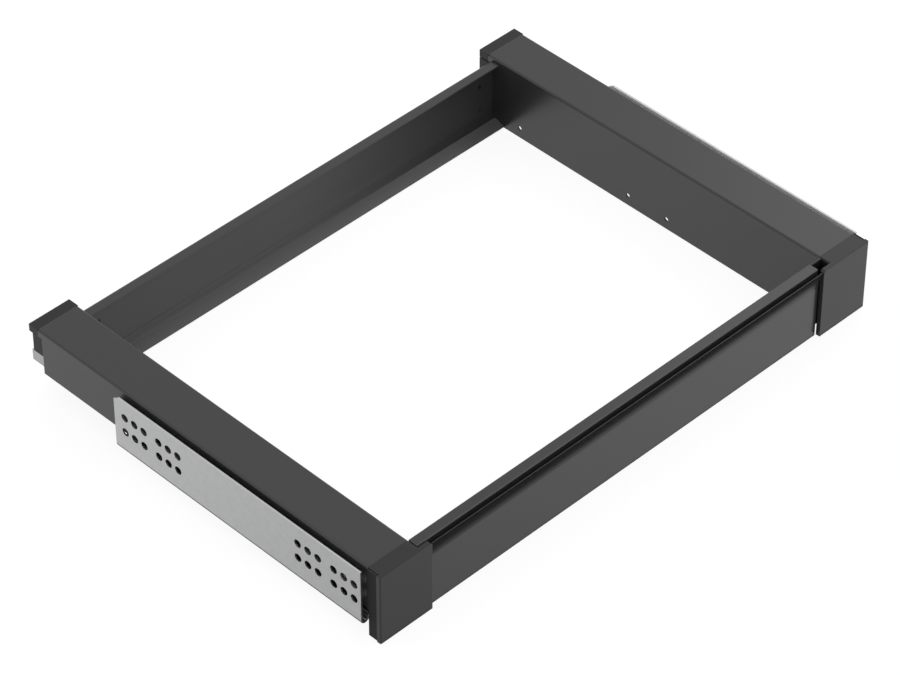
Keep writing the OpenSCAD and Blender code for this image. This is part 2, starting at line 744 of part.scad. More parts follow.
module outer_balls(side) {
  color(bright) on_side(side) from_runner()
    for (y = outer_ball_places(), up = [-1, 1])
      translate([ball_b[0], y, up * ball_b[1]]) sphere(d = ball_d);
}

// Rivets: a low round head outside, a flush cone inside the runner
module rivet(grip) {
  translate([0, 0, -rivet_head_h]) cylinder(d1 = rivet_head_d - 1.5, d2 = rivet_head_d, h = rivet_head_h);
  cylinder(d = rivet_d, h = grip);
  translate([0, 0, grip - member_t]) cylinder(d1 = rivet_d, d2 = rivet_d + 2 * member_t, h = member_t);
}

module drawer_rivets(side) {
  color(bright) on_side(side) from_profile()
    for (y = rivet_places)
      translate([0, bracket_y0 + y - rivet_offset, -runner_drop]) rotate([0, 90, 0])
        rivet(sheet_t + member_t);
}

module bracket_rivets(side) {
  color(bright) on_side(side) from_profile()
    for (y = rivet_places)
      translate([web_u + bracket_t, bracket_y0 + y + rivet_offset, -runner_drop]) rotate([0, -90, 0])
        rivet(bracket_t + member_t);
}

// Rubber buffer in the front end of the drawer member, where the cabinet member stops
module closing_buffer(side) {
  color(rubber_black) on_side(side) from_runner()
    block([member_t, drawer_y0, -buffer_h / 2], [runner_t - 0.6, member_y0 - 0.3, buffer_h / 2]);
}

// Self-tapping screw along +Z, its head's underside at the origin
module screw(l) {
  difference() {
    translate([0, 0, -screw_head_h]) cylinder(d1 = screw_head_d - 2, d2 = screw_head_d, h = screw_head_h);
    for (turn = [0, 90]) rotate(turn)
      translate([-1.8, -0.4, -screw_head_h - 1]) cube([3.6, 0.8, 1.9]);
  }
  cylinder(d = screw_d, h = l);
}

module front_rail_screws() {
  color(bright) for (place = rail_screw_places())
    translate([place[0], rail_back_y, place[1]]) rotate([90, 0, 0]) screw(screw_l);
}

module back_rail_screws() {
  color(bright) for (place = back_screw_places())
    translate([place[0], back_web_y + ear_t, place[1]]) rotate([90, 0, 0]) screw(ear_t + sheet_t);
}

side_profile(-1);  // side_profile_left
side_profile(1);  // side_profile_right
front_rail();
back_rail();
front_cap(-1);  // front_cap_left
front_cap(1);  // front_cap_right
rear_cap(-1);  // rear_cap_left
rear_cap(1);  // rear_cap_right
cabinet_bracket(-1);  // cabinet_bracket_left
cabinet_bracket(1);  // cabinet_bracket_right
cabinet_member(-1);  // cabinet_member_left
cabinet_member(1);  // cabinet_member_right
middle_member(-1);  // middle_member_left
middle_member(1);  // middle_member_right
drawer_member(-1);  // drawer_member_left
drawer_member(1);  // drawer_member_right
inner_cage(-1);  // inner_cage_left
inner_cage(1);  // inner_cage_right
outer_cage(-1);  // outer_cage_left
outer_cage(1);  // outer_cage_right
inner_balls(-1);  // inner_balls_left
inner_balls(1);  // inner_balls_right
outer_balls(-1);  // outer_balls_left
outer_balls(1);  // outer_balls_right
bracket_rivets(-1);  // bracket_rivets_left
bracket_rivets(1);  // bracket_rivets_right
drawer_rivets(-1);  // drawer_rivets_left
drawer_rivets(1);  // drawer_rivets_right
closing_buffer(-1);  // closing_buffer_left
closing_buffer(1);  // closing_buffer_right
front_rail_screws();
back_rail_screws();
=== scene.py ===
import math

import bmesh
import bpy
from mathutils import Matrix, Vector


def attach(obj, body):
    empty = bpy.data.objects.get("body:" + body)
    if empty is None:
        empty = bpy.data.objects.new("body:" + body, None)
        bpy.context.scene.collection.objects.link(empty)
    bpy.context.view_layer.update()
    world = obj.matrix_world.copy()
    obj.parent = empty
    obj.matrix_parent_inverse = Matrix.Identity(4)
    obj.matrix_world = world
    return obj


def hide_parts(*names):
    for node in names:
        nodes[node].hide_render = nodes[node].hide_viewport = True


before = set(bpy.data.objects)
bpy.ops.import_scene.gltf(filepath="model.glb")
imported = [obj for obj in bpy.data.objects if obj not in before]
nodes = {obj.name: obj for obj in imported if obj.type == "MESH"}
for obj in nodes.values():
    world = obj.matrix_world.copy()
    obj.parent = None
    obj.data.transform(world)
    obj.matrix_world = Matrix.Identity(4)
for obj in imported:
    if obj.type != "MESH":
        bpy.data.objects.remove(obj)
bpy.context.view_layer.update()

SIDES = ("left", "right")
ACROSS, BACK, UP = (1, 0, 0), (0, 1, 0), (0, 0, 1)
MM = 0.001


# Small helpers for node trees

def add(tree, kind, **values):
    """A node of that kind, with its settings and its input values."""
    node = tree.nodes.new(kind)
    for key, value in values.items():
        if hasattr(node, key):
            setattr(node, key, value)
        else:
            node.inputs[key.replace("_", " ")].default_value = value
    return node


def link(tree, *pairs):
    for source, target in pairs:
        tree.links.new(source, target)


def feed(tree, socket, value):
    """Sets a number on a socket, or links another socket to it."""
    if isinstance(value, (int, float)):
        socket.default_value = value
    else:
        tree.links.new(value, socket)


def new_group(name, kind, inputs, outputs):
    """An empty node group with named sockets, and its input and output nodes."""
    tree = bpy.data.node_groups.new(name, kind)
    for label, socket, value in inputs:
        item = tree.interface.new_socket(name=label, in_out="INPUT", socket_type=socket)
        if value is not None:
            item.default_value = value
    for label, socket in outputs:
        tree.interface.new_socket(name=label, in_out="OUTPUT", socket_type=socket)
    return tree, tree.nodes.new("NodeGroupInput"), tree.nodes.new("NodeGroupOutput")


def place_group(tree, group, **values):
    """A node group in a tree, with its input values."""
    node = tree.nodes.new("ShaderNodeGroup")
    node.node_tree = group
    for key, value in values.items():
        node.inputs[key.replace("_", " ")].default_value = value
    return node


def maths(tree, operation, a, b, clamp=False):
    """A Math node fed by sockets or numbers."""
    node = add(tree, "ShaderNodeMath", operation=operation, use_clamp=clamp)
    feed(tree, node.inputs[0], a)
    feed(tree, node.inputs[1], b)
    return node.outputs[0]


def eased(tree, value, limits):
    """A value eased from one range to another: limits are from, from, to, to."""
    rise = add(tree, "ShaderNodeMapRange", interpolation_type="SMOOTHSTEP")
    tree.links.new(value, rise.inputs["Value"])
    for label, limit in zip(("From Min", "From Max", "To Min", "To Max"), limits):
        feed(tree, rise.inputs[label], limit)
    return rise.outputs["Result"]


def blended(tree, value, other, mask):
    """value where the mask is 0, other where it is 1; each is a socket or a number."""
    mix = add(tree, "ShaderNodeMix", data_type="FLOAT")
    for label, part in (("Factor", mask), ("A", value), ("B", other)):
        feed(tree, mix.inputs[label], part)
    return mix.outputs["Result"]


def tinted(tree, colour, factor):
    """A colour times a factor that changes over the surface."""
    mix = add(tree, "ShaderNodeMix", data_type="RGBA", blend_type="MULTIPLY")
    mix.inputs["Factor"].default_value = 1.0
    mix.inputs["A"].default_value = (*colour, 1.0)
    spread = add(tree, "ShaderNodeCombineColor")
    for channel in ("Red", "Green", "Blue"):
        tree.links.new(factor, spread.inputs[channel])
    tree.links.new(spread.outputs["Color"], mix.inputs["B"])
    return mix.outputs["Result"]


# Effects that several finishes share

EDGE_SAMPLES, EDGE_GAIN = 6, 4.0
# Painted shade in narrow gaps and holes: samples, and the limits of its mask
GAP_SAMPLES = 6
# Share of open sky where a gap begins and where it ends, and the mask there
GAP_LIMITS = (0.36, 0.66, 1.0, 0.0)


def coat_grain():
    """Fine orange peel and slow clouds of a sprayed or moulded surface."""
    tree, given, result = new_group(
        "coat_grain", "ShaderNodeTree",
        [("Grain per metre", "NodeSocketFloat", 900.0),
         ("Clouds per metre", "NodeSocketFloat", 14.0), ("Cloud depth", "NodeSocketFloat", 0.1)],
        [("Height", "NodeSocketFloat"), ("Shade", "NodeSocketFloat")])
    place = add(tree, "ShaderNodeTexCoord")
    grain = add(tree, "ShaderNodeTexNoise", Detail=3.0, Roughness=0.55)
    clouds = add(tree, "ShaderNodeTexNoise", Detail=4.0, Roughness=0.6)
    link(tree, (place.outputs["Object"], grain.inputs["Vector"]),
         (place.outputs["Object"], clouds.inputs["Vector"]),
         (given.outputs["Grain per metre"], grain.inputs["Scale"]),
         (given.outputs["Clouds per metre"], clouds.inputs["Scale"]),
         (grain.outputs["Fac"], result.inputs["Height"]))
    swing = maths(tree, "SUBTRACT", clouds.outputs["Fac"], 0.5)
    swing = maths(tree, "MULTIPLY", swing, given.outputs["Cloud depth"])
    link(tree, (maths(tree, "ADD", swing, 1.0), result.inputs["Shade"]))
    return tree


def rolled_streaks():
    """Streaks that rolling leaves along a strip of steel, which runs along Y."""
    tree, given, result = new_group(
        "rolled_streaks", "ShaderNodeTree",
        [("Streaks per metre", "NodeSocketFloat", 1800.0), ("Length", "NodeSocketFloat", 60.0)],
        [("Height", "NodeSocketFloat"), ("Streak", "NodeSocketFloat")])
    place = add(tree, "ShaderNodeTexCoord")
    stretch = add(tree, "ShaderNodeVectorMath", operation="DIVIDE")
    wide = add(tree, "ShaderNodeCombineXYZ", X=1.0, Z=1.0)
    streak = add(tree, "ShaderNodeTexNoise", Detail=3.0, Roughness=0.6)
    link(tree, (given.outputs["Length"], wide.inputs["Y"]),
         (place.outputs["Object"], stretch.inputs[0]), (wide.outputs[0], stretch.inputs[1]),
         (stretch.outputs[0], streak.inputs["Vector"]),
         (given.outputs["Streaks per metre"], streak.inputs["Scale"]),
         (streak.outputs["Fac"], result.inputs["Height"]),
         (streak.outputs["Fac"], result.inputs["Streak"]))
    return tree


def zinc_spangle():
    """The faint crystal pattern of hot-dip zinc."""
    tree, given, result = new_group(
        "zinc_spangle", "ShaderNodeTree", [("Crystals per metre", "NodeSocketFloat", 260.0)],
        [("Crystal", "NodeSocketFloat")])
    place = add(tree, "ShaderNodeTexCoord")
    cells = add(tree, "ShaderNodeTexVoronoi", feature="F1", Randomness=1.0)
    tone = add(tree, "ShaderNodeSeparateColor")
    link(tree, (place.outputs["Object"], cells.inputs["Vector"]),
         (given.outputs["Crystals per metre"], cells.inputs["Scale"]),
         (cells.outputs["Color"], tone.inputs["Color"]),
         (tone.outputs["Red"], result.inputs["Crystal"]))
    return tree


def edge_round_and_highlight():
    """A rounded normal at sharp edges, and a mask that is 1 on them, for a painted highlight
    there.
    """
    tree, given, result = new_group(
        "edge_round_and_highlight", "ShaderNodeTree", [("Radius", "NodeSocketFloat", 0.0004)],
        [("Normal", "NodeSocketVector"), ("Edge", "NodeSocketFloat")])
    rounded = add(tree, "ShaderNodeBevel", samples=EDGE_SAMPLES)
    flat = add(tree, "ShaderNodeNewGeometry")
    compare = add(tree, "ShaderNodeVectorMath", operation="DOT_PRODUCT")
    link(tree, (given.outputs["Radius"], rounded.inputs["Radius"]),
         (rounded.outputs[0], result.inputs["Normal"]), (rounded.outputs[0], compare.inputs[0]),
         (flat.outputs["Normal"], compare.inputs[1]))
    turned_away = maths(tree, "SUBTRACT", 1.0, compare.outputs["Value"])
    link(tree, (maths(tree, "MULTIPLY", turned_away, EDGE_GAIN, clamp=True),
                result.inputs["Edge"]))
    return tree


def zone():
    """A mask that rises from 0 to 1 between two distances along a direction."""
    tree, given, result = new_group(
        "zone", "ShaderNodeTree",
        [("Direction", "NodeSocketVector", None), ("Start", "NodeSocketFloat", 0.0),
         ("End", "NodeSocketFloat", 1.0)],
        [("Mask", "NodeSocketFloat")])
    place = add(tree, "ShaderNodeTexCoord")
    along = add(tree, "ShaderNodeVectorMath", operation="DOT_PRODUCT")
    link(tree, (place.outputs["Object"], along.inputs[0]),
         (given.outputs["Direction"], along.inputs[1]))
    limits = (given.outputs["Start"], given.outputs["End"], 0.0, 1.0)
    link(tree, (eased(tree, along.outputs["Value"], limits), result.inputs["Mask"]))
    return tree


def hollow():
    """A mask that is 1 in narrow gaps and holes, where shade is painted."""
    tree, given, result = new_group(
        "hollow", "ShaderNodeTree", [("Reach", "NodeSocketFloat", 0.007)],
        [("Mask", "NodeSocketFloat")])
    sky = add(tree, "ShaderNodeAmbientOcclusion", samples=GAP_SAMPLES)
    link(tree, (given.outputs["Reach"], sky.inputs["Distance"]),
         (eased(tree, sky.outputs["AO"], GAP_LIMITS), result.inputs["Mask"]))
    return tree


GRAIN, STREAKS, SPANGLE = coat_grain(), rolled_streaks(), zinc_spangle()
EDGE, ZONE, SHADE_IN_GAPS = edge_round_and_highlight(), zone(), hollow()


def zone_mask(tree, direction, start, end):
    return place_group(tree, ZONE, Direction=direction, Start=start, End=end).outputs["Mask"]


# Finishes

# Height that a shade ramp covers in metres, and the largest shade that it can give
RAMP_TOP, RAMP_MOST = 0.03, 4.0
# Painted shade in narrow gaps: how dark and how rough it makes them
GAP_PAINTED_SHADE, GAP_ROUGHNESS = 0.7, 1.0
# Painted highlight on steel edges
STEEL_EDGE_HIGHLIGHT = 0.12
# Zones of the painted light on the right-hand plate's upper rim, on its inner face: direction,
# start, end
RIM_LIGHT_ZONES = ((UP, 0.0600, 0.0615), ((-1, 0, 0), -0.2800, -0.2797), (ACROSS, 0.2780, 0.2790))
# Painted light on that rim: how pale and how rough
RIM_PAINTED_LIGHT, RIM_ROUGHNESS = 1.9, 0.8


def new_finish(name, **values):
    """A material with one shader, whose plain values are set on its own sockets."""
    material = bpy.data.materials.new(name)
    material.use_nodes = True
    shader = material.node_tree.nodes["Principled BSDF"]
    for key, value in values.items():
        shader.inputs[key.replace("_", " ")].default_value = value
    return material, material.node_tree, shader


def wire_up(tree, shader, height, depth, edges, rough, colour, shade):
    """Feeds the shader with a bump over worn edges, a roughness and a tinted colour."""
    bump = add(tree, "ShaderNodeBump", Strength=1.0, Distance=depth)
    link(tree, (height, bump.inputs["Height"]), (edges.outputs["Normal"], bump.inputs["Normal"]),
         (bump.outputs["Normal"], shader.inputs["Normal"]), (rough, shader.inputs["Roughness"]),
         (tinted(tree, colour, shade), shader.inputs["Base Color"]))


def by_height(tree, heights):
    """Painted light and shade that follows the height above the frame's foot."""
    level = add(tree, "ShaderNodeTexCoord")
    parts = add(tree, "ShaderNodeSeparateXYZ")
    ramp = add(tree, "ShaderNodeValToRGB")
    stops = ramp.color_ramp.elements
    while len(stops) < len(heights):
        stops.new(0.5)
    for stop, (height, _) in zip(stops, heights):
        stop.position = height / RAMP_TOP
    for stop, (_, shade) in zip(sorted(stops, key=lambda item: item.position), heights):
        stop.color = (*[shade / RAMP_MOST] * 3, 1.0)
    link(tree, (level.outputs["Object"], parts.inputs[0]),
         (maths(tree, "DIVIDE", parts.outputs["Z"], RAMP_TOP), ramp.inputs["Fac"]))
    value = add(tree, "ShaderNodeSeparateColor")
    link(tree, (ramp.outputs["Color"], value.inputs["Color"]))
    return maths(tree, "MULTIPLY", value.outputs["Red"], RAMP_MOST)


def sprayed_finish(name, colour, roughness, grain, depth, edge_radius, edge_highlight,
                   ior=1.5, parts=(), heights=()):
    """A sprayed or moulded finish: grain, slow clouds and a painted highlight that makes edges
    lighter.

    parts are zones of painted light and shade: (direction, start, end, shade, roughness).
    heights are (height, shade) of a painted light that follows height."""
    material, tree, shader = new_finish(name, IOR=ior)
    effect = place_group(tree, GRAIN, Grain_per_metre=grain)
    edges = place_group(tree, EDGE, Radius=edge_radius)
    gaps = place_group(tree, SHADE_IN_GAPS).outputs["Mask"]
    # Painted highlight: edges lighter
    shade = maths(tree, "MULTIPLY", edges.outputs["Edge"], edge_highlight)
    shade = maths(tree, "ADD", effect.outputs["Shade"], shade)
    rough = maths(tree, "MULTIPLY", effect.outputs["Shade"], roughness)
    factor = by_height(tree, heights) if heights else 1.0
    for direction, start, end, part_shade, part_roughness in parts:
        mask = zone_mask(tree, direction, start, end)
        factor = blended(tree, factor, part_shade, mask)
        rough = blended(tree, rough, part_roughness, mask)
    shade = maths(tree, "MULTIPLY", shade, factor)
    # Painted shade: darker and rougher in narrow gaps and holes
    shade = maths(tree, "MULTIPLY", shade, blended(tree, 1.0, GAP_PAINTED_SHADE, gaps))
    rough = blended(tree, rough, GAP_ROUGHNESS, gaps)
    wire_up(tree, shader, effect.outputs["Height"], depth, edges, rough, colour, shade)
    return material


def steel_finish(name, colour, roughness, edge_radius, spangle=0.0, streak=0.0,
                 depth=0.000004, rim=False):
    """A bare or zinc-coated steel: rolling streaks, crystals and a painted highlight on edges.

    rim paints light on the upper rim of the right-hand plate: pale, matt and not metallic on its
    inner face."""
    material, tree, shader = new_finish(name, Metallic=1.0)
    rolled = place_group(tree, STREAKS)
    crystals = place_group(tree, SPANGLE)
    edges = place_group(tree, EDGE, Radius=edge_radius)
    tone = maths(tree, "SUBTRACT", crystals.outputs["Crystal"], 0.5)
    tone = maths(tree, "MULTIPLY", tone, spangle)
    lines = maths(tree, "SUBTRACT", rolled.outputs["Streak"], 0.5)
    lines = maths(tree, "MULTIPLY", lines, streak)
    shade = maths(tree, "ADD", maths(tree, "ADD", tone, lines), 1.0)
    # Painted highlight: edges lighter
    light = maths(tree, "MULTIPLY", edges.outputs["Edge"], STEEL_EDGE_HIGHLIGHT)
    shade = maths(tree, "ADD", shade, light)
    rough = maths(tree, "ADD", maths(tree, "MULTIPLY", lines, 2.0), 1.0)
    rough = maths(tree, "MULTIPLY", rough, roughness)
    # Painted light: the rim's inner face pale, matt and not metallic
    if rim:
        pale = 1.0
        for direction, start, end in RIM_LIGHT_ZONES:
            pale = maths(tree, "MULTIPLY", pale, zone_mask(tree, direction, start, end))
        shade = blended(tree, shade, RIM_PAINTED_LIGHT, pale)
        link(tree, (blended(tree, 1.0, 0.0, pale), shader.inputs["Metallic"]))
        rough = blended(tree, rough, RIM_ROUGHNESS, pale)
    wire_up(tree, shader, rolled.outputs["Height"], depth, edges, rough, colour, shade)
    return material


# Zones of painted light and shade on the sprayed pieces: direction, start, end, shade and
# roughness
# Painted highlight on the front edge of the front rail's ledge; LIP_FRONT keeps the lip out of it
LEDGE_HIGHLIGHT = ((0, -0.7071, 0.7071), 0.1872, 0.18745, 2.8, 0.22)
LIP_FRONT = ((0, -1, 0), 0.1980, 0.1984, 1.0, 0.22)
# Painted shadow: the back rail darker and rougher towards its right-hand end
CHANNEL_RIGHT_SHADOW = (ACROSS, -0.03, 0.23, 0.35, 0.8)
# Painted shade: the back rail's top flange kept out of the painted shadow and made a little darker
CHANNEL_TOP_SHADE = (UP, 0.0645, 0.0655, 0.76, 0.3)
# Painted light: the back rail's foot strip made lighter
CHANNEL_FOOT_LIGHT = ((0, 0, -1), -0.0066, -0.0062, 3.35, 0.40)
# The rear face of the back rail is kept out of the painted light and shade
CHANNEL_REAR = (BACK, 0.1866, 0.1872, 1.0, 0.40)
# Painted shade: the front caps darker behind their face plate
CAP_BODY_SHADE = (BACK, -0.1980, -0.1972, 0.25, 0.75)
# Painted shade on the caps' tops, less dark than the rest of the body
CAP_TOP_SHADE = (UP, 0.0690, 0.0694, 0.5, 0.36)
# Painted light on the fold of the back rail, lighter towards the foot: height and shade
CHANNEL_FOLD_LIGHT = ((0.0066, 2.0), (0.0077, 1.5), (0.0105, 2.05), (0.013, 2.65), (0.015, 2.75),
                (0.018, 1.95), (0.022, 1.4), (0.029, 1.0))
ANTHRACITE = (0.022, 0.0218, 0.0218)

anthracite_coat = sprayed_finish(
    "anthracite_coat", ANTHRACITE, 0.3, grain=900.0, depth=0.000006, edge_radius=0.0005,
    edge_highlight=0.25)
extruded_coat = sprayed_finish(
    "extruded_coat", ANTHRACITE, 0.22, grain=900.0, depth=0.0000015, edge_radius=0.0004,
    edge_highlight=0.2, parts=(LEDGE_HIGHLIGHT, LIP_FRONT))
channel_coat = sprayed_finish(
    "channel_coat", (0.029, 0.0288, 0.0286), 0.40, grain=900.0, depth=0.000006,
    edge_radius=0.0004, edge_highlight=0.2,
    parts=(CHANNEL_RIGHT_SHADOW, CHANNEL_TOP_SHADE, CHANNEL_FOOT_LIGHT, CHANNEL_REAR), heights=CHANNEL_FOLD_LIGHT)
cap_front = sprayed_finish(
    "cap_front", (0.021, 0.0203, 0.0201), 0.3, grain=1500.0, depth=0.000008,
    edge_radius=0.0006, edge_highlight=0.3, ior=1.42, parts=(CAP_BODY_SHADE, CAP_TOP_SHADE))
cap_rear = sprayed_finish(
    "cap_rear", (0.007, 0.0067, 0.0065), 0.5, grain=1500.0, depth=0.000008,
    edge_radius=0.0006, edge_highlight=0.3, ior=1.42)
rubber = sprayed_finish(
    "rubber", (0.018, 0.018, 0.018), 0.7, grain=2200.0, depth=0.00002, edge_radius=0.0004,
    edge_highlight=0.1)
galvanised = steel_finish(
    "galvanised", (0.50, 0.503, 0.505), 0.36, edge_radius=0.0003, spangle=0.05, streak=0.03,
    rim=True)
runner_zinc = steel_finish(
    "runner_zinc", (0.43, 0.435, 0.44), 0.44, edge_radius=0.0003, spangle=0.03, streak=0.08)
bright_steel = steel_finish(
    "bright_steel", (0.58, 0.585, 0.59), 0.24, edge_radius=0.00015, streak=0.10)
ball_steel = steel_finish(
    "ball_steel", (0.62, 0.62, 0.63), 0.08, edge_radius=0.0001, streak=0.02, depth=0.0000005)
black_zinc = steel_finish(
    "black_zinc", (0.035, 0.035, 0.037), 0.38, edge_radius=0.0002, streak=0.05)


def finish(material, *names):
    """Gives CAD nodes a material on their own slots."""
    for name in names:
        mesh = nodes[name].data
        if not mesh.materials:
            mesh.materials.append(material)
        for place in range(len(mesh.materials)):
            mesh.materials[place] = material


for side in SIDES:
    finish(anthracite_coat, f"side_profile_{side}")
    finish(cap_front, f"front_cap_{side}")
    finish(cap_rear, f"rear_cap_{side}")
    finish(galvanised, f"cabinet_bracket_{side}")
    finish(runner_zinc, f"cabinet_member_{side}", f"drawer_member_{side}")
    finish(bright_steel, f"middle_member_{side}", f"inner_cage_{side}", f"outer_cage_{side}",
           f"bracket_rivets_{side}", f"drawer_rivets_{side}")
    finish(ball_steel, f"inner_balls_{side}", f"outer_balls_{side}")
    finish(rubber, f"closing_buffer_{side}")
finish(extruded_coat, "front_rail")
finish(channel_coat, "back_rail")


# Fasteners and balls, set out in rows from one shaped piece

TURNED_FACES, SMOOTH_ANGLE = 28, 32
MERGE = 0.0001
RIVET_R, HEAD_R, HEAD_H, SHEET = 2.0, 3.5, 1.2, 1.1
DOME_STEPS = 10
DIMPLE_R, DIMPLE_FLOOR_R, DIMPLE_DEPTH = 1.3, 1.1, 0.2
SCREW_R, SCREW_HEAD_R, SCREW_HEAD_H = 1.75, 3.4, 2.0
# Radius and height of the pan head, from its flat top down to its rim
PAN_HEAD = ((0, -SCREW_HEAD_H), (1.4, -SCREW_HEAD_H), (2.3, -1.8), (2.95, -1.35), (3.3, -0.8),
            (SCREW_HEAD_R, -0.3), (SCREW_HEAD_R, 0))
THREAD_PITCH, THREAD_DEPTH, THREAD_RINGS = 1.3, 0.35, 6
THREAD_START, THREAD_RUN_IN, THREAD_RUN_OUT = 0.02, 0.1, 0.05
RECESS_L, RECESS_W, RECESS_TAPER, RECESS_CLEAR, RECESS_FLOOR = 3.7, 0.95, 0.45, 0.2, -0.55
BALL_D, BALL_FACES, BALL_RINGS = 3.2, 16, 10


def set_out():
    """Geometry nodes: a piece repeated along two steps, with its material."""
    tree, given, result = new_group(
        "set_out", "GeometryNodeTree",
        [("Piece", "NodeSocketGeometry", None), ("Count along", "NodeSocketInt", 1),
         ("Step along", "NodeSocketVector", None), ("Count across", "NodeSocketInt", 1),
         ("Step across", "NodeSocketVector", None), ("Material", "NodeSocketMaterial", None)],
        [("Pieces", "NodeSocketGeometry")])
    shape = given.outputs["Piece"]
    for way in ("along", "across"):
        line = add(tree, "GeometryNodeMeshLine", mode="OFFSET")
        row = add(tree, "GeometryNodeInstanceOnPoints")
        real = add(tree, "GeometryNodeRealizeInstances")
        link(tree, (given.outputs[f"Count {way}"], line.inputs["Count"]),
             (given.outputs[f"Step {way}"], line.inputs["Offset"]),
             (line.outputs["Mesh"], row.inputs["Points"]), (shape, row.inputs["Instance"]),
             (row.outputs["Instances"], real.inputs["Geometry"]))
        shape = real.outputs["Geometry"]
    paint = add(tree, "GeometryNodeSetMaterial")
    link(tree, (shape, paint.inputs["Geometry"]),
         (given.outputs["Material"], paint.inputs["Material"]),
         (paint.outputs["Geometry"], result.inputs["Pieces"]))
    return tree


SET_OUT = set_out()


def turned(outline, thread=None):
    """A turned piece about Z from an outline of (radius, height) in mm.

    thread is (start, end, pitch, depth)."""
    work = bmesh.new()
    rings = []
    for radius, height in outline:
        ring = []
        for step in range(TURNED_FACES):
            angle = 2 * math.pi * step / TURNED_FACES
            reach = radius
            if thread and thread[0] < height < thread[1] and radius > 0:
                phase = (height / thread[2] - step / TURNED_FACES) % 1.0
                reach -= thread[3] * abs(2 * phase - 1)
            ring.append(work.verts.new((reach * math.cos(angle), reach * math.sin(angle), height)))
        rings.append(ring)
    for low, high in zip(rings, rings[1:]):
        for step in range(TURNED_FACES):
            after = (step + 1) % TURNED_FACES
            work.faces.new((low[step], low[after], high[after], high[step]))
    bmesh.ops.remove_doubles(work, verts=work.verts, dist=MERGE)
    bmesh.ops.dissolve_degenerate(work, edges=work.edges, dist=MERGE)
    bmesh.ops.recalc_face_normals(work, faces=work.faces)
    return work


def into_place(work, spot, axis):
    """Turns a shape's Z to an axis, moves it to a spot in mm and changes it to metres."""
    turn = axis.to_track_quat("Z", "Y").to_matrix().to_4x4()
    work.transform(Matrix.Scale(MM, 4) @ Matrix.Translation(spot) @ turn)


def smooth(mesh, angle):
    """Smooth shading that stops at edges sharper than the angle."""
    work = bmesh.new()
    work.from_mesh(mesh)
    for face in work.faces:
        face.smooth = True
    for edge in work.edges:
        edge.smooth = len(edge.link_faces) == 2 and edge.calc_face_angle(0.0) < angle
    work.to_mesh(mesh)
    work.free()


def row_piece(name, work, material, along, across, body, node):
    """One plain mesh of a row of pieces, riding on a body in a CAD node's stead."""
    start = bpy.data.meshes.new(name + "_one")
    work.to_mesh(start)
    work.free()
    piece = bpy.data.objects.new(name, start)
    bpy.context.collection.objects.link(piece)
    rows = piece.modifiers.new("rows", "NODES")
    rows.node_group = SET_OUT
    values = {"Count along": along[0], "Step along": along[1], "Count across": across[0],
              "Step across": across[1], "Material": material}
    for item in SET_OUT.interface.items_tree:
        if item.in_out == "INPUT" and item.name in values:
            value = values[item.name]
            if isinstance(value, tuple):
                value = [part * MM for part in value]
            rows[item.identifier] = value
    bpy.context.view_layer.update()
    done = piece.evaluated_get(bpy.context.evaluated_depsgraph_get())
    whole = bpy.data.meshes.new_from_object(done)
    whole.name = name
    piece.modifiers.remove(rows)
    piece.data = whole
    smooth(whole, math.radians(SMOOTH_ANGLE))
    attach(piece, body)
    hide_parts(node)
    return piece


def rivet(grip):
    """A rivet along +Z: a round head below the sheet, a flush cone with a dimple above."""
    angles = [math.radians(90 * step / DOME_STEPS) for step in range(DOME_STEPS + 1)]
    dome = [(HEAD_R * math.sin(angle), -HEAD_H * math.cos(angle)) for angle in angles]
    shank = [(RIVET_R, 0), (RIVET_R, grip - SHEET), (RIVET_R + SHEET, grip)]
    dimple = [(DIMPLE_R, grip), (DIMPLE_FLOOR_R, grip - DIMPLE_DEPTH), (0, grip - DIMPLE_DEPTH)]
    return turned(dome + shank + dimple)


def screw(length):
    """A self-tapping screw along +Z: pan head with a cross recess, thread down to the tip."""
    count = int((length - THREAD_RUN_IN) / (THREAD_PITCH / THREAD_RINGS))
    turns = [(SCREW_R, THREAD_START + step * THREAD_PITCH / THREAD_RINGS)
             for step in range(count)]
    tip = [(SCREW_R - THREAD_DEPTH, length), (0, length)]
    work = turned(list(PAN_HEAD) + [(SCREW_R, 0)] + turns + tip,
                  thread=(THREAD_RUN_IN, length - THREAD_RUN_OUT, THREAD_PITCH, THREAD_DEPTH))
    cut = bmesh.new()
    for degrees in (0, 90):
        turn = Matrix.Rotation(math.radians(degrees), 4, "Z")
        back = Matrix.Rotation(math.radians(-degrees), 4, "Z")
        for corner in bmesh.ops.create_cube(cut, size=1.0, matrix=turn)["verts"]:
            local = back @ corner.co
            outside = local.z < 0
            shrink = 1.0 if outside else RECESS_TAPER
            depth = -SCREW_HEAD_H - RECESS_CLEAR if outside else RECESS_FLOOR
            corner.co = turn @ Vector(
                (local.x * RECESS_L * shrink, local.y * RECESS_W * shrink, depth))
    return cut_away(work, cut)


def cut_away(work, cut):
    """The first shape without the second, as a new bmesh; both are used up."""
    objects = []
    for label, shape in (("whole", work), ("cutter", cut)):
        mesh = bpy.data.meshes.new(label)
        shape.to_mesh(mesh)
        shape.free()
        objects.append(bpy.data.objects.new(label, mesh))
        bpy.context.collection.objects.link(objects[-1])
    recess = objects[0].modifiers.new("recess", "BOOLEAN")
    recess.operation, recess.solver = "DIFFERENCE", "EXACT"
    recess.object, recess.use_self = objects[1], True
    bpy.context.view_layer.update()
    result = bmesh.new()
    done = objects[0].evaluated_get(bpy.context.evaluated_depsgraph_get())
    result.from_mesh(bpy.data.meshes.new_from_object(done))
    for piece in objects:
        mesh = piece.data
        bpy.data.objects.remove(piece)
        bpy.data.meshes.remove(mesh)
    return result


def ball(diameter):
    work = bmesh.new()
    bmesh.ops.create_uvsphere(
        work, u_segments=BALL_FACES, v_segments=BALL_RINGS, radius=diameter / 2)
    return work


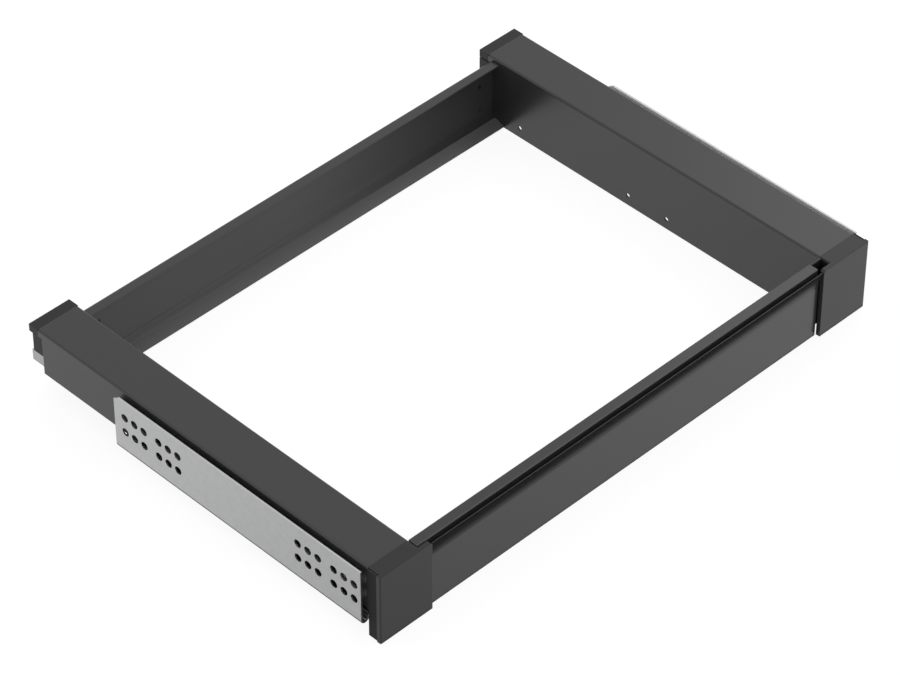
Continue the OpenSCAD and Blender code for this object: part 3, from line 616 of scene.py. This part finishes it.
# Places in mm in the record's frame, mirrored for the right-hand side
FACE_X, RUNNER_Z, BRACKET_WEB = 275.0, 45.7, 15.7
RIVET_GRIP = SHEET + 1.5
RIVET_COUNT, RIVET_STEP, NO_STEP = 3, (0, 107.0, 0), (0, 0, 0)
PROFILE_RIVET_Y, WEB_RIVET_Y = -163.0, -139.0
# Ball rows: inward of the face, above and below the runner's middle, count, pitch, middle
BALL_ROWS = (("inner", 7.15, 10.33, 11, 8.0, -38.4), ("outer", 11.03, 12.68, 18, 10.0, 8.1))
# Screws: length, place of the first, steps across the frame and up
RAIL_SCREWS = (6.0, (-217.6, -187.1, 20.3), (423.1, 0, 0), (0, 0, 20.0))
BACK_SCREWS = (4.5, (-216.6, 190.4, 21.0), (433.2, 0, 0), (0, 0, 25.0))

for side, sign in (("left", -1), ("right", 1)):
    inward = Vector((-sign, 0, 0))
    head = rivet(RIVET_GRIP)
    into_place(head, Vector((sign * FACE_X, PROFILE_RIVET_Y, RUNNER_Z)), inward)
    row_piece(f"profile_rivets_{side}", head, bright_steel, (RIVET_COUNT, RIVET_STEP),
              (1, NO_STEP), "frame", f"drawer_rivets_{side}")
    head = rivet(RIVET_GRIP)
    into_place(head, Vector((sign * (FACE_X - BRACKET_WEB), WEB_RIVET_Y, RUNNER_Z)), -inward)
    row_piece(f"web_rivets_{side}", head, bright_steel, (RIVET_COUNT, RIVET_STEP),
              (1, NO_STEP), "cabinet_side", f"bracket_rivets_{side}")
    for kind, out, rise, count, pitch, middle in BALL_ROWS:
        one = ball(BALL_D)
        start = middle - pitch * (count - 1) / 2
        into_place(one, Vector((sign * (FACE_X - out), start, RUNNER_Z - rise)), Vector(UP))
        row_piece(f"{kind}_ball_rows_{side}", one, ball_steel, (count, (0, pitch, 0)),
                  (2, (0, 0, 2 * rise)), f"{kind}_cage_{side}", f"{kind}_balls_{side}")

for place, name, node in ((RAIL_SCREWS, "front_rail_tapping_screws", "front_rail_screws"),
                          (BACK_SCREWS, "back_rail_tapping_screws", "back_rail_screws")):
    length, first, across, up = place
    one = screw(length)
    into_place(one, Vector(first), Vector((0, -1, 0)))
    row_piece(name, one, black_zinc, (2, across), (2, up), "frame", node)


# Floor, light and camera

FLOOR_HALF, FLOOR_Z = 20, -0.0005
FLOOR_LIT, FLOOR_SHADOW, FLOOR_GLOW = 0.8, 0.15, 0.89
# Strength of the white surround by the height of a direction: from, from, strength, strength
BELOW = (-0.80, -0.65, 0.0, 1.0)
ABOVE = (-0.3, 0.3, 1.14, 0.95)
BOX_SIZE, BOX_POWER = 1.2, 3.6
BOX_PLACE, BOX_AIM = (1.42, 0.2, 1.05), (0.2, -0.1, 0.05)
# The camera's direction in degrees, its aim and distances in metres, and its lens in mm
CAMERA_TURN, CAMERA_RISE = -44.75, 41.4406
CAMERA_AIM, CAMERA_DISTANCE = (0.0, -0.0008, 0.0696), 3.35069
CAMERA_LEFT, CAMERA_DOWN = 0.00288, 0.04394
SENSOR, LENS = 36.0, 166.658
CLIP_START, CLIP_END = 0.1, 60.0


def grey(level):
    return (level, level, level, 1.0)


def floor():
    """A pale floor: white to the eye, with a faint shadow of the frame."""
    mesh = bpy.data.meshes.new("floor")
    corners = ((-1, -1), (1, -1), (1, 1), (-1, 1))
    mesh.from_pydata([(x * FLOOR_HALF, y * FLOOR_HALF, FLOOR_Z) for x, y in corners], [],
                     [(0, 1, 2, 3)])
    piece = bpy.data.objects.new("floor", mesh)
    bpy.context.collection.objects.link(piece)
    material = bpy.data.materials.new("pale_floor")
    material.use_nodes = True
    tree = material.node_tree
    tree.nodes.remove(tree.nodes["Principled BSDF"])
    lit = add(tree, "ShaderNodeBsdfDiffuse", Color=grey(FLOOR_LIT))
    shadow = add(tree, "ShaderNodeBsdfDiffuse", Color=grey(FLOOR_SHADOW))
    glow = add(tree, "ShaderNodeEmission", Strength=FLOOR_GLOW)
    seen = add(tree, "ShaderNodeAddShader")
    path = add(tree, "ShaderNodeLightPath")
    choose = add(tree, "ShaderNodeMixShader")
    rays = maths(tree, "MAXIMUM", path.outputs["Is Camera Ray"], path.outputs["Is Glossy Ray"])
    rays = maths(tree, "MAXIMUM", rays, path.outputs["Is Transmission Ray"])
    link(tree, (shadow.outputs[0], seen.inputs[0]), (glow.outputs[0], seen.inputs[1]),
         (rays, choose.inputs["Fac"]), (lit.outputs[0], choose.inputs[1]),
         (seen.outputs[0], choose.inputs[2]),
         (choose.outputs[0], tree.nodes["Material Output"].inputs["Surface"]))
    mesh.materials.append(material)
    piece.visible_glossy = False


def studio():
    """White all round, fading out straight below, and a soft box beyond the right-hand side."""
    world = bpy.data.worlds.new("studio")
    bpy.context.scene.world = world
    world.use_nodes = True
    tree = world.node_tree
    way = add(tree, "ShaderNodeTexCoord")
    parts = add(tree, "ShaderNodeSeparateXYZ")
    link(tree, (way.outputs["Generated"], parts.inputs[0]))
    levels = [eased(tree, parts.outputs["Z"], limits) for limits in (BELOW, ABOVE)]
    background = tree.nodes["Background"]
    link(tree, (maths(tree, "MULTIPLY", *levels), background.inputs["Strength"]))
    background.inputs["Color"].default_value = grey(1.0)
    lamp = bpy.data.lights.new("soft_box", "AREA")
    lamp.shape, lamp.size, lamp.energy = "SQUARE", BOX_SIZE, BOX_POWER
    piece = bpy.data.objects.new("soft_box", lamp)
    piece.location = BOX_PLACE
    beam = Vector(BOX_AIM) - Vector(BOX_PLACE)
    piece.rotation_euler = beam.to_track_quat("-Z", "Y").to_euler()
    bpy.context.collection.objects.link(piece)


def camera():
    """The photograph's view: from the front left and above, through a long lens."""
    turn, rise = math.radians(CAMERA_TURN), math.radians(CAMERA_RISE)
    back = Vector((math.sin(turn) * math.cos(rise), -math.cos(turn) * math.cos(rise),
                   math.sin(rise)))
    right = Vector((math.cos(turn), math.sin(turn), 0.0))
    up = back.cross(right)
    place = Vector(CAMERA_AIM) + back * CAMERA_DISTANCE - right * CAMERA_LEFT - up * CAMERA_DOWN
    lens = bpy.data.cameras.new("camera")
    lens.sensor_width, lens.lens = SENSOR, LENS
    lens.clip_start, lens.clip_end = CLIP_START, CLIP_END
    piece = bpy.data.objects.new("camera", lens)
    turned_to = Matrix((right, up, back)).transposed().to_4x4()
    piece.matrix_world = Matrix.Translation(place) @ turned_to
    bpy.context.collection.objects.link(piece)
    bpy.context.scene.camera = piece


floor()
studio()
camera()
bpy.context.scene.view_settings.view_transform = "Standard"
